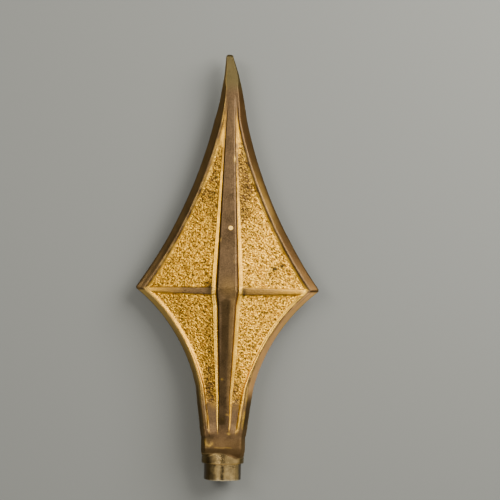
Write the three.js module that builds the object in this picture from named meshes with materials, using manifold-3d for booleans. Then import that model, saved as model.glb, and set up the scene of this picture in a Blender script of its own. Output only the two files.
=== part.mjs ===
// Spear finial for the top of a flagpole, cast in brass. It lies on its back on a level surface.
// Millimetres, +Z up, the point of the spear towards +Y. The origin is under the middle of the finial.
// The casting is worked out about its own centre: x across the blade, y from the widest level
// towards the point, z from mid-thickness. Front and back are alike.

import * as THREE from 'three';
import { mergeVertices } from 'three/addons/utils/BufferGeometryUtils.js';
import Module from 'manifold-3d';

const wasm = await Module();
wasm.setup();

// Outline of the blade
const overallLength = 200;
const pointLevel = 111.2;
const upperCornerHalfWidth = 44;
const lowerCornerHalfWidth = 42.3;
const bluntedHalfWidth = 43;
const pointHalfWidth = 1.5;
const pointTaper = 0.2;
const pointTaperLevel = 80;
const pointBlunt = 0.8;
const pointEndShare = 0.6;
const upperHollowRadius = 222;
const upperHollowTop = { x: 2.85, y: 110.6 };
const lowerHollowLow = { x: 11.2, y: -64.7 };
const waistLevel = -70;
const waistHalfWidth = 10.3;
const waistTaper = 0.13;

// Thickness, as half-thickness from the middle of the casting
const thickness = 21.6;
const pointHalfThickness = 2.4;
const edgeHalfThickness = 1;
const baseEdgeHalfThickness = 7;
const edgeGrowth = 1.5;
const edgeShareOfRim = 0.75;

// Midrib
const ribHalfWidth = 4.8;
const ribTaper = 0.036;
const pointRibHalfWidth = 1.2;
const ribCrown = 0.12;
const ribSlopeShare = 0.75;
const ribStepRunShare = 0.3;
const ribStepDropShare = 0.45;
const narrowestRibSlope = 0.3;

// Sunk panels and the ridge across them
const panelCrest = 8.97;
const panelSideFall = 0.17;
const panelPointFall = 0.058;
const panelBaseRise = 2.3;
const panelPointEnd = 93;
const panelBaseEnd = -67.5;
const panelPointFade = 12;
const panelBaseFade = 6;
const ridgeProud = 0.3;
const ridgeHalfAtRib = 1.1;
const ridgeHalfAtBorder = 0.45;
const ridgeFootRun = 0.4;

// Raised border: widths square to the outline
const upperBevelWidth = 3.45;
const lowerBevelWidth = 2.4;
const rimWidth = 0.7;
const coveWidth = 0.9;
const rimProud = 0.75;

// Where the blade is narrow, the shares of the room between midrib and outline that each stretch may take
const borderShare = 0.62;
const rimShare = 0.15;
const coveShare = 0.3;
const ribSlopeRoomShare = 0.45;

// Flat base of the blade and the round shoulder under it
const baseFlatHalfWidth = 8.6;
const baseLevel = -73.2;
const shoulderLength = 5.5;
const shoulderHeight = 9;
const shoulderHalfWidth = 9.3;
const shoulderReach = 0.985;

// Collar, socket and the tube let into it
const collarRadius = 10.15;
const collarTop = -72;
const collarEnd = -81;
const collarChamfer = 0.7;
const tubeRadius = 8.8;
const tubeBoreRadius = 7;
const tubeEndRound = 0.35;
const socketFloor = -68;
const socketClearance = 0.3;

// How finely the curves are cut
const turnedSides = 64;
const upperSteps = 22;
const lowerSteps = 18;
const shoulderSteps = 6;

const ringEnd = pointLevel - overallLength;
const midThickness = thickness / 2;

const brass = new THREE.MeshStandardMaterial({ color: 0x9a7434, roughness: 0.45, metalness: 1 });
const tubeBrass = new THREE.MeshStandardMaterial({ color: 0xb89350, roughness: 0.35, metalness: 1 });

// A number part of the way from one value to another
function between(from, to, share) {
  return from + (to - from) * share;
}

// A share that eases from 0 to 1
function eased(share) {
  const held = Math.min(Math.max(share, 0), 1);
  return held * held * (3 - 2 * held);
}

// The centre of the circle of a given radius through two points, on the side away from the axis
function hollowCentre(low, high, radius) {
  const chord = Math.hypot(high.x - low.x, high.y - low.y);
  const reach = Math.sqrt(radius * radius - (chord * chord) / 4);
  return {
    x: (low.x + high.x) / 2 + (reach * (high.y - low.y)) / chord,
    y: (low.y + high.y) / 2 - (reach * (high.x - low.x)) / chord,
  };
}

const upperHollow = hollowCentre({ x: upperCornerHalfWidth, y: 0 }, upperHollowTop, upperHollowRadius);
const lowerRun = lowerCornerHalfWidth - lowerHollowLow.x;
const lowerHollowRadius = (lowerRun ** 2 + lowerHollowLow.y ** 2) / (2 * lowerRun);
const lowerHollow = { x: lowerHollowLow.x + lowerHollowRadius, y: lowerHollowLow.y };

// How far the edge of a hollow, moved in by a width, stands from the axis
function hollowEdge(centre, radius, y) {
  const rise = y - centre.y;
  const left = radius * radius - rise * rise;
  return left > 0 ? centre.x - Math.sqrt(left) : Infinity;
}

// Half-width of the blade, moved in by a border width for each half
function bladeHalfWidth(y, upperInset = 0, lowerInset = 0) {
  const waist = waistHalfWidth + waistTaper * Math.max(y - waistLevel, 0) - lowerInset;
  if (y < lowerHollowLow.y) {
    return waist;
  }
  const lower = Math.max(hollowEdge(lowerHollow, lowerHollowRadius + lowerInset, y), waist);
  const upper = hollowEdge(upperHollow, upperHollowRadius + upperInset, y);
  const point = pointHalfWidth + pointTaper * (pointLevel - y) - upperInset;
  return y > pointTaperLevel ? Math.min(upper, point) : Math.min(lower, upper);
}

// The share of the way from the widest level down to the end of the lower panels
function baseShare(y) {
  return Math.min(Math.max(y / panelBaseEnd, 0), 1);
}

// Height of the flat top of the midrib: level below the corners, falling to the point above them
function ribTop(y) {
  return y < 0 ? midThickness : between(midThickness, pointHalfThickness, y / pointLevel);
}

function ribEdge(y) {
  return Math.max(ribHalfWidth - ribTaper * Math.abs(y), pointRibHalfWidth);
}

// Height of the sunk panels: they fall away from the midrib and towards the point, and rise to the base
function panelHeight(x, y) {
  const crest = panelCrest - panelSideFall * x;
  return y > 0 ? crest - panelPointFall * y : crest + panelBaseRise * baseShare(y) ** 3;
}

// Height of the border's flat rim, which rises to meet the flat base
function rimHeight(x, y) {
  const floor = panelHeight(x, y);
  const proud = between(rimProud, midThickness - floor, baseShare(y) ** 3);
  return Math.min(floor + proud, ribTop(y));
}

// How open the sunk panels are: shut at both ends
function panelOpening(y) {
  const towardsPoint = eased((panelPointEnd - y) / panelPointFade);
  const towardsBase = eased((y - panelBaseEnd) / panelBaseFade);
  return Math.min(towardsPoint, towardsBase);
}

// Half the width of the cross ridge, which narrows from the midrib to the border
function ridgeHalf(share) {
  return between(ridgeHalfAtRib, ridgeHalfAtBorder, Math.min(Math.max(share, 0), 1));
}

// The upper right quarter of the section at one level, from the outer edge to the middle of the midrib
function quarterSection(y, ridge = 0) {
  const edge = Math.min(bladeHalfWidth(y), bluntedHalfWidth);
  const rib = ribEdge(y);
  const inset = (width) => bladeHalfWidth(y, upperBevelWidth + width, lowerBevelWidth + width);
  const bevelIn = Math.max(inset(0), between(edge, rib, borderShare));
  const rimIn = Math.max(inset(rimWidth), between(bevelIn, rib, rimShare));
  const coveFoot = Math.max(inset(rimWidth + coveWidth), between(rimIn, rib, coveShare));
  const top = ribTop(y);
  const rim = rimHeight(bevelIn, y);
  const room = rimIn - rib;
  const ribSlope = Math.max(ribSlopeShare * (top - panelHeight(rib, y)), narrowestRibSlope);
  const ribFootRun = Math.min(ribSlope, ribSlopeRoomShare * room);
  const opening = panelOpening(y);
  const sunk = (x, height) => between(between(top, rim, (x - rib) / room), height, opening);
  const ribFoot = rib + ribFootRun;
  const ribStep = rib + ribFootRun * ribStepRunShare;
  const stepHeight = between(top, panelHeight(ribFoot, y), ribStepDropShare);
  const edgeHeight = between(edgeHalfThickness, baseEdgeHalfThickness, baseShare(y) ** edgeGrowth);
  return [
    [edge, Math.min(edgeHeight, rim * edgeShareOfRim)],
    [bevelIn, rim],
    [rimIn, rim],
    [coveFoot, sunk(coveFoot, panelHeight(coveFoot, y) + ridge)],
    [ribFoot, sunk(ribFoot, panelHeight(ribFoot, y) + ridge)],
    [ribStep, sunk(ribStep, stepHeight)],
    [rib, top],
    [0, Math.min(top + ribCrown * opening, midThickness)],
  ];
}

// A closed loop round the section, from the right-hand edge over the front and back along the rear
function wholeLoop(quarter, levelAt) {
  const front = quarter.map(([x, z]) => [x, z]);
  const left = quarter
    .slice(0, -1)
    .reverse()
    .map(([x, z]) => [-x, z]);
  const half = [...front, ...left];
  const rear = [...half].reverse().map(([x, z]) => [x, -z]);
  return [...half, ...rear].map(([x, z]) => [x, levelAt(Math.abs(x)), z]);
}

function bladeLoop(y) {
  return wholeLoop(quarterSection(y), () => y);
}

// A loop along one line of the cross ridge: side is -1 below and 1 above, out is the run past its top edge
function ridgeLoop(side, out, proud) {
  const y = side * (ridgeHalfAtRib + out);
  const quarter = quarterSection(y, proud);
  const coveFoot = quarter[3][0];
  const ribFoot = quarter[4][0];
  return wholeLoop(quarter, (x) => side * (ridgeHalf((x - ribFoot) / (coveFoot - ribFoot)) + out));
}

// The base below its flat face: a quarter of an ellipse in height, drawn in a little at the sides
function shoulderLoop(share) {
  const y = baseLevel - shoulderLength * share;
  const drop = shoulderHeight * (1 - Math.sqrt(1 - share * share));
  const height = midThickness - drop;
  const edge = between(waistHalfWidth, shoulderHalfWidth, share * share);
  const flat = (edge * baseFlatHalfWidth) / waistHalfWidth;
  const across = quarterSection(baseLevel).slice(1);
  const flats = across.map(([x]) => [(flat * x) / across[0][0], height]);
  return wholeLoop([[edge, Math.min(baseEdgeHalfThickness, height * edgeShareOfRim)], ...flats], () => y);
}

// A loop at the blunt end of the point, drawn in by a quarter of an ellipse
function pointLoop(share) {
  const drawnIn = between(1, pointEndShare, 1 - Math.sqrt(1 - share * share));
  const quarter = quarterSection(pointLevel).map(([x, z]) => [x * drawnIn, z * drawnIn]);
  return wholeLoop(quarter, () => pointLevel - pointBlunt * (1 - share));
}

// Joins closed loops, from the base to the point, into one closed body
function skin(loops) {
  const sides = loops[0].length;
  const positions = loops.flat();
  const faces = [];
  for (let row = 0; row < loops.length - 1; row += 1) {
    for (let k = 0; k < sides; k += 1) {
      const a = row * sides + k;
      const b = row * sides + ((k + 1) % sides);
      faces.push(a, a + sides, b + sides, a, b + sides, b);
    }
  }
  const middleOf = (loop) => [0, loop[0][1], 0];
  const baseMiddle = positions.push(middleOf(loops[0])) - 1;
  const pointMiddle = positions.push(middleOf(loops.at(-1))) - 1;
  const lastRow = (loops.length - 1) * sides;
  for (let k = 0; k < sides; k += 1) {
    const next = (k + 1) % sides;
    faces.push(baseMiddle, k, next);
    faces.push(pointMiddle, lastRow + next, lastRow + k);
  }
  const geometry = new THREE.BufferGeometry();
  geometry.setAttribute('position', new THREE.Float32BufferAttribute(positions.flat(), 3));
  geometry.setIndex(faces);
  return geometry;
}

function turned(profile) {
  const points = profile.map(([radius, y]) => new THREE.Vector2(radius, y));
  return new THREE.LatheGeometry(points, turnedSides);
}

// A solid that can be joined and cut, from a closed geometry
function solidOf(geometry) {
  const bare = geometry.clone();
  bare.deleteAttribute('normal');
  bare.deleteAttribute('uv');
  const merged = mergeVertices(bare);
  return new wasm.Manifold(
    new wasm.Mesh({
      numProp: 3,
      vertProperties: merged.attributes.position.array,
      triVerts: Uint32Array.from(merged.index.array),
    }),
  );
}

function geometryOf(solid) {
  const mesh = solid.getMesh();
  const geometry = new THREE.BufferGeometry();
  geometry.setAttribute('position', new THREE.BufferAttribute(mesh.vertProperties, 3));
  geometry.setIndex(new THREE.BufferAttribute(mesh.triVerts, 1));
  geometry.computeVertexNormals();
  return geometry;
}

// The blade from the shoulder at its foot to the blunt point
function bladeGeometry() {
  const loops = [];
  for (let step = shoulderSteps; step > 0; step -= 1) {
    loops.push(shoulderLoop(Math.min(step / shoulderSteps, shoulderReach)));
  }
  loops.push(bladeLoop(baseLevel));
  for (let step = 0; step < lowerSteps; step += 1) {
    loops.push(bladeLoop(panelBaseEnd * (1 - step / lowerSteps)));
  }
  loops.push(ridgeLoop(-1, ridgeFootRun, 0), ridgeLoop(-1, 0, ridgeProud));
  loops.push(wholeLoop(quarterSection(0, ridgeProud), () => 0));
  loops.push(ridgeLoop(1, 0, ridgeProud), ridgeLoop(1, ridgeFootRun, 0));
  for (let step = 1; step <= upperSteps; step += 1) {
    loops.push(bladeLoop((pointLevel - pointBlunt) * (step / upperSteps)));
  }
  loops.push(pointLoop(0.7), pointLoop(1));
  return skin(loops);
}

function castingGeometry() {
  const collar = turned([
    [0, collarEnd],
    [collarRadius - collarChamfer, collarEnd],
    [collarRadius, collarEnd + collarChamfer],
    [collarRadius, collarTop],
    [0, collarTop],
  ]);
  const socketRadius = tubeRadius + socketClearance;
  const socket = turned([
    [0, collarEnd - 1],
    [socketRadius, collarEnd - 1],
    [socketRadius, socketFloor],
    [0, socketFloor],
  ]);
  return geometryOf(solidOf(bladeGeometry()).add(solidOf(collar)).subtract(solidOf(socket)));
}

function tubeGeometry() {
  return turned([
    [tubeBoreRadius, ringEnd],
    [tubeRadius - tubeEndRound, ringEnd],
    [tubeRadius, ringEnd + tubeEndRound],
    [tubeRadius, socketFloor],
    [tubeBoreRadius, socketFloor],
    [tubeBoreRadius, ringEnd],
  ]);
}

const finial = new THREE.Group();
const casting = new THREE.Mesh(castingGeometry(), brass);
casting.name = 'spear_casting';
const tube = new THREE.Mesh(tubeGeometry(), tubeBrass);
tube.name = 'socket_tube';
finial.add(casting, tube);
finial.position.set(0, overallLength / 2 - pointLevel, midThickness);

export default finial;
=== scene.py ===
"""Looks of a spear finial for a flagpole, cast in brass and lying on its back."""

import logging
import math
from dataclasses import dataclass, field
from enum import IntEnum

import bpy
import numpy as np
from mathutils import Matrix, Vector

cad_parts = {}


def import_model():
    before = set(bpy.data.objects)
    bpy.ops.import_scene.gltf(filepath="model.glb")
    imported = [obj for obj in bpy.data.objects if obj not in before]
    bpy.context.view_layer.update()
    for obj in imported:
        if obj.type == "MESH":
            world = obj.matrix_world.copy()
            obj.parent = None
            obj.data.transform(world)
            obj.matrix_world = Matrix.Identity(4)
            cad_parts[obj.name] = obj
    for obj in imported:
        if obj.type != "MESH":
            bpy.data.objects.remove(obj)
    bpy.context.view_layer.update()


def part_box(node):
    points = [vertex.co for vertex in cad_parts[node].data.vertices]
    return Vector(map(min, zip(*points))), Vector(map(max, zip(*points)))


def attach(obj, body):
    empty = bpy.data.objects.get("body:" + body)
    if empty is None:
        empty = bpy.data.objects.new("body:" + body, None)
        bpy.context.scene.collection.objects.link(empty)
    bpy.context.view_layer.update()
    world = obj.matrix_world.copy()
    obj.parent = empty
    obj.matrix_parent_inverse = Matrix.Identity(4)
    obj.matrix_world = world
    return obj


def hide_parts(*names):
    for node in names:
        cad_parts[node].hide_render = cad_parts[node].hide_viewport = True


MM = 0.001
LOG = logging.getLogger("finial")
Array = np.ndarray
Colour = tuple[float, float, float]
Pair = tuple[float, float]
Socket = bpy.types.NodeSocket


class Strip(IntEnum):
    """The stretches of a quarter of the section, from the outer edge to the middle of the midrib."""

    EDGE = -1
    BEVEL = 0
    RIM = 1
    COVE = 2
    PANEL = 3
    RIB_SLOPE = 4
    RIB_STEP = 5
    RIB_TOP = 6


STRIPS = Strip.RIB_TOP + 1
WALL = 2 * STRIPS
AROUND = 4 * STRIPS + 2


def between(start: Array, end: Array, share: Array) -> Array:
    """Return the value part of the way from start to end."""
    return start + (end - start) * share


def eased(share: Array) -> Array:
    """Return a share held to 0..1 that eases at both ends."""
    held = np.clip(share, 0.0, 1.0)
    return held * held * (3.0 - 2.0 * held)


def fade(value: Array, start: float, end: float) -> Array:
    """Return 0 on the start's side and 1 on the end's side, eased between the two."""
    return eased((value - start) / (end - start))


def hump(value: Array, centre: Array, reach: float) -> Array:
    """Return 1 at the centre, falling off over the reach to both sides."""
    return np.exp(-(((value - centre) / reach) ** 2))


class Grain:
    """Smooth noise and punched pits over a flat field, the same each run."""

    SIDE = 256
    PIT_MARGIN = 0.1
    PIT_REACH = 0.62

    def __init__(self, seed: int) -> None:
        """Fill the tables.

        Args:
            seed: number that fixes the pattern.
        """
        draw = np.random.default_rng(seed)
        self.table = draw.random((self.SIDE, self.SIDE))
        self.jitter = draw.random((2, self.SIDE, self.SIDE))

    def smooth(self, u: Array, v: Array, pitch: float) -> Array:
        """Return smooth noise from -1 to 1.

        Args:
            u: first coordinate.
            v: second coordinate.
            pitch: size of a lump, in the same unit.

        Returns:
            The noise at each point.
        """
        a, b = u / pitch, v / pitch
        i, j = np.floor(a).astype(int), np.floor(b).astype(int)
        fu, fv = eased(a - i), eased(b - j)
        left, right = i % self.SIDE, (i + 1) % self.SIDE
        near, far = j % self.SIDE, (j + 1) % self.SIDE
        low = between(self.table[left, near], self.table[right, near], fu)
        high = between(self.table[left, far], self.table[right, far], fu)
        return between(low, high, fv) * 2.0 - 1.0

    def punched(self, u: Array, v: Array, pitch: float) -> Array:
        """Return 1 at the middle of each punched pit and 0 between the pits.

        Args:
            u: first coordinate.
            v: second coordinate.
            pitch: mean distance between pits.

        Returns:
            The depth share at each point.
        """
        a, b = u / pitch, v / pitch
        i, j = np.floor(a).astype(int), np.floor(b).astype(int)
        nearest = np.full(np.shape(a), np.inf)
        spread = 1.0 - 2.0 * self.PIT_MARGIN
        for di in (-1, 0, 1):
            for dj in (-1, 0, 1):
                ci, cj = (i + di) % self.SIDE, (j + dj) % self.SIDE
                px = i + di + self.PIT_MARGIN + spread * self.jitter[0, ci, cj]
                py = j + dj + self.PIT_MARGIN + spread * self.jitter[1, ci, cj]
                nearest = np.minimum(nearest, np.hypot(a - px, b - py))
        return 1.0 - eased(nearest / self.PIT_REACH)


@dataclass(frozen=True)
class Side:
    """One half of the section: its raised border, square to the outline, and its side of the midrib, in millimetres.

    Towards the foot of the blade the border changes to the foot's widths.
    """

    upper_bevel: float
    lower_bevel: float
    rim: float
    cove: float
    foot_bevel: float
    foot_rim: float
    foot_cove: float
    step_drop: float
    rib_trim: float
    step_run: float = 0.22
    foot_start: float = -28.0
    foot_end: float = -57.0

    def foot_share(self, y: Array) -> Array:
        """Return how far each level is on the way to the foot."""
        return fade(y, self.foot_start, self.foot_end)

    def widths(self, y: Array) -> tuple[Array, Array, Array]:
        """Return the widths of the lower bevel, the rim and the cove at each level.

        Args:
            y: levels.

        Returns:
            The three widths, each with a value for each level.
        """
        pairs = ((self.lower_bevel, self.foot_bevel), (self.rim, self.foot_rim), (self.cove, self.foot_cove))
        bevel, rim, cove = (between(blade, foot, self.foot_share(y)) for blade, foot in pairs)
        return bevel, rim, cove


@dataclass(frozen=True)
class Patch:
    """A soft oval patch on one face, in millimetres from the widest level."""

    x: float
    y: float
    half_width: float
    half_height: float
    strength: float = 1.0

    def share(self, x: Array, y: Array) -> Array:
        """Return how strongly the patch covers each point."""
        return self.strength * hump(x, self.x, self.half_width) * hump(y, self.y, self.half_height)


def patches(*sizes: tuple[float, ...]) -> tuple[Patch, ...]:
    """Return a patch for each row of sizes."""
    return tuple(Patch(*size) for size in sizes)


@dataclass(frozen=True)
class Stripe:
    """The dark reflection painted down the lower midrib: round at its top and square at its foot."""

    top: float = -3.6
    foot: float = -62.2
    left: float = -2.3
    right_at_top: float = 1.6
    right_at_middle: float = 0.7
    middle: float = -30.0
    round_top: float = 1.9
    soft: float = 0.45
    levels: tuple[float, ...] = (-60.0, -56.5, -52.0, -45.0, -36.0, -25.0)
    depths: tuple[float, ...] = (0.85, 0.4, 0.4, 0.6, 0.62, 0.8)

    def share(self, x: Array, y: Array) -> Array:
        """Return how strongly the painted reflection covers each point.

        Args:
            x: distances across the blade.
            y: levels.

        Returns:
            The share at each point.
        """
        right = np.interp(y, (self.middle, self.top), (self.right_at_middle, self.right_at_top))
        centre, half = (self.left + right) / 2, (right - self.left) / 2
        beyond = np.hypot(x - centre, np.maximum(y - (self.top - self.round_top), 0.0))
        sides = eased((half - beyond) / self.soft + 0.5)
        depth = np.interp(y, self.levels, self.depths)
        return depth * sides * eased((y - self.foot) / self.soft + 0.5)


@dataclass(frozen=True)
class Outline:
    """Plan of the blade: two hollow arcs on each side, in millimetres from its widest level."""

    point_level: float = 111.2
    point_half: float = 1.5
    point_taper: float = 0.2
    point_taper_level: float = 80.0
    upper_corner: float = 44.0
    lower_corner: float = 42.3
    blunted: float = 42.9
    upper_radius: float = 222.0
    upper_top: Pair = (2.85, 110.6)
    lower_low: Pair = (11.2, -64.7)
    waist_level: float = -70.0
    waist_half: float = 10.3
    waist_taper: float = 0.13

    def upper_centre(self) -> Pair:
        """Return the centre of the upper arc on the right.

        Returns:
            Its distance from the axis and its level.
        """
        dx, dy = self.upper_top[0] - self.upper_corner, self.upper_top[1]
        chord = math.hypot(dx, dy)
        reach = math.sqrt(self.upper_radius**2 - chord**2 / 4)
        middle = (self.upper_corner + self.upper_top[0]) / 2
        return middle + reach * dy / chord, dy / 2 - reach * dx / chord

    def lower_radius(self) -> float:
        """Return the radius of the lower arc."""
        run = self.lower_corner - self.lower_low[0]
        return (run**2 + self.lower_low[1] ** 2) / (2 * run)

    @staticmethod
    def hollow(centre: Pair, radius: Array, y: Array) -> Array:
        """Return how far a hollow edge stands from the axis, or infinity where it has none."""
        left = radius**2 - (y - centre[1]) ** 2
        return np.where(left > 0, centre[0] - np.sqrt(np.maximum(left, 0.0)), np.inf)

    def half_width(self, y: Array, upper_inset: Array | float = 0.0, lower_inset: Array | float = 0.0) -> Array:
        """Return the half-width of the blade, moved in by a border width.

        Args:
            y: levels.
            upper_inset: width taken off above the widest level.
            lower_inset: width taken off below it.

        Returns:
            The half-width at each level.
        """
        waist = self.waist_half + self.waist_taper * np.maximum(y - self.waist_level, 0.0) - lower_inset
        radius = self.lower_radius()
        arc = self.hollow((self.lower_low[0] + radius, self.lower_low[1]), radius + lower_inset, y)
        lower = np.where(y < self.lower_low[1], waist, np.maximum(arc, waist))
        upper = self.hollow(self.upper_centre(), self.upper_radius + upper_inset, y)
        point = self.point_half + self.point_taper * (self.point_level - y) - upper_inset
        return np.where(y > self.point_taper_level, np.minimum(upper, point), np.minimum(lower, upper))


@dataclass
class Surface:
    """Points of a surface with the masks that its finish reads."""

    x: Array
    y: Array
    z: Array
    masks: dict[str, Array]


def joined(parts: list[Surface]) -> Surface:
    """Return the points of several surfaces in one."""
    x, y, z = (np.concatenate([getattr(part, axis) for part in parts]) for axis in "xyz")
    return Surface(x, y, z, {name: np.concatenate([part.masks[name] for part in parts]) for name in parts[0].masks})


@dataclass
class BladePoints:
    """Points of the blade's rows, before they are dressed.

    strip is the number of each point's strip, inward the share of the way in across it, front whether the point is on
    the front, and corner_x holds the distances of its row's corners from the axis.
    """

    x: Array
    y: Array
    z: Array
    strip: Array
    inward: Array
    front: Array
    corner_x: Array

    @property
    def right(self) -> Array:
        """Return which points are on the right half."""
        return self.x >= 0

    @property
    def halves(self) -> tuple[Array, Array]:
        """Return a soft and a sharp share that go from 0 above the widest level to 1 below it."""
        return fade(self.y, 4.0, -4.0), fade(self.y, 0.4, -0.4)

    def band(self, inner: float, reach: float) -> Array:
        """Return 1 on a band along the lower right bevel, further in by a share than the light band."""
        place = 0.4 + 0.012 * np.clip(-self.y, 0.0, 26.0) + inner
        return hump(self.inward, place, reach) * self.on(Strip.BEVEL) * self.right * self.halves[1]

    def on(self, *strips: Strip) -> Array:
        """Return 1 on the given strips and 0 elsewhere."""
        return np.isin(self.strip, strips).astype(float)

    def corner(self, number: int) -> Array:
        """Return how far a corner of each point's row and half stands from the axis."""
        return np.where(self.right, self.corner_x[:, number], -self.corner_x[:, WALL - number])


def zip_rows(first: Array, second: Array, start: int, onward: int) -> list[tuple[int, int, int]]:
    """Join two closed rows of points with triangles.

    Args:
        first: places of the first row's points round the loop, rising from 0.
        second: places of the second row's points, on the same scale.
        start: index of the first row's first point.
        onward: index of the second row's first point.

    Returns:
        The triangles, facing out when the rows run anticlockwise seen from the second one.
    """
    n, m = len(first), len(second)
    i = j = 0
    faces = []
    while i < n or j < m:
        next_first = first[i + 1] if i + 1 < n else AROUND
        next_second = second[j + 1] if j + 1 < m else AROUND
        a, b = start + i % n, onward + j % m
        level = next_first == next_second and (i + j) % 2
        if i < n and (j >= m or next_first < next_second or level):
            i += 1
            faces.append((a, start + i % n, b))
        else:
            j += 1
            faces.append((a, onward + j % m, b))
    return faces


def mesh_object(name: str, surface: Surface, centre: Vector, faces: list[tuple[int, ...]]) -> bpy.types.Object:
    """Make a smooth-shaded object from a surface and report it.

    Args:
        name: the object's name.
        surface: its points in millimetres about the centre, with masks.
        centre: where the centre is in the row frame, in metres.
        faces: its faces.

    Returns:
        The linked object.
    """
    mesh = bpy.data.meshes.new(name)
    points = np.stack([surface.x, surface.y, surface.z], axis=1) + np.array(centre) / MM
    mesh.from_pydata((points * MM).tolist(), [], [tuple(int(i) for i in face) for face in faces])
    for mask, values in surface.masks.items():
        layer = mesh.attributes.new(mask, "FLOAT", "POINT")
        layer.data.foreach_set("value", np.asarray(values, dtype=np.float32))
    mesh.shade_smooth()
    mesh.update()
    LOG.info("%s: %d faces", name, len(faces))
    return placed(name, mesh)


@dataclass(frozen=True)
class AgeAndLight:
    """Levels between which each sign of age and each painted highlight and shade on the blade comes in, in
    millimetres from the widest level.
    """

    slope_foot: Pair = (-54.0, -49.0)
    slope_upper: Pair = (60.0, 42.0)
    slope_point: Pair = (91.0, 86.0)
    cove_upper: Pair = (78.0, 60.0)
    bevel_light: Pair = (-50.0, -40.0)
    corner_glint: Pair = (-24.0, -18.0)
    rim_groove: Pair = (-54.0, -44.0)
    bevel_groove: Pair = (-46.0, -36.0)
    bevel_foot: Pair = (-40.0, -54.0)
    pale_bevel: Pair = (-53.0, -44.0)
    pale_base: Pair = (-61.0, -67.0)
    olive_bevel: Pair = (-56.0, -48.0)
    shine_top: Pair = (2.0, -4.0)
    shine_foot: Pair = (-60.0, -50.0)
    green_point: Pair = (92.0, 99.0)
    gilt_foot: Pair = (-57.0, -46.0)
    gilt_point: Pair = (90.0, 74.0)
    dull_slope: Pair = (48.0, 66.0)
    rim_gilt_foot: Pair = (-52.0, -44.0)
    rim_gilt_top: Pair = (2.0, -2.0)


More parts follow.
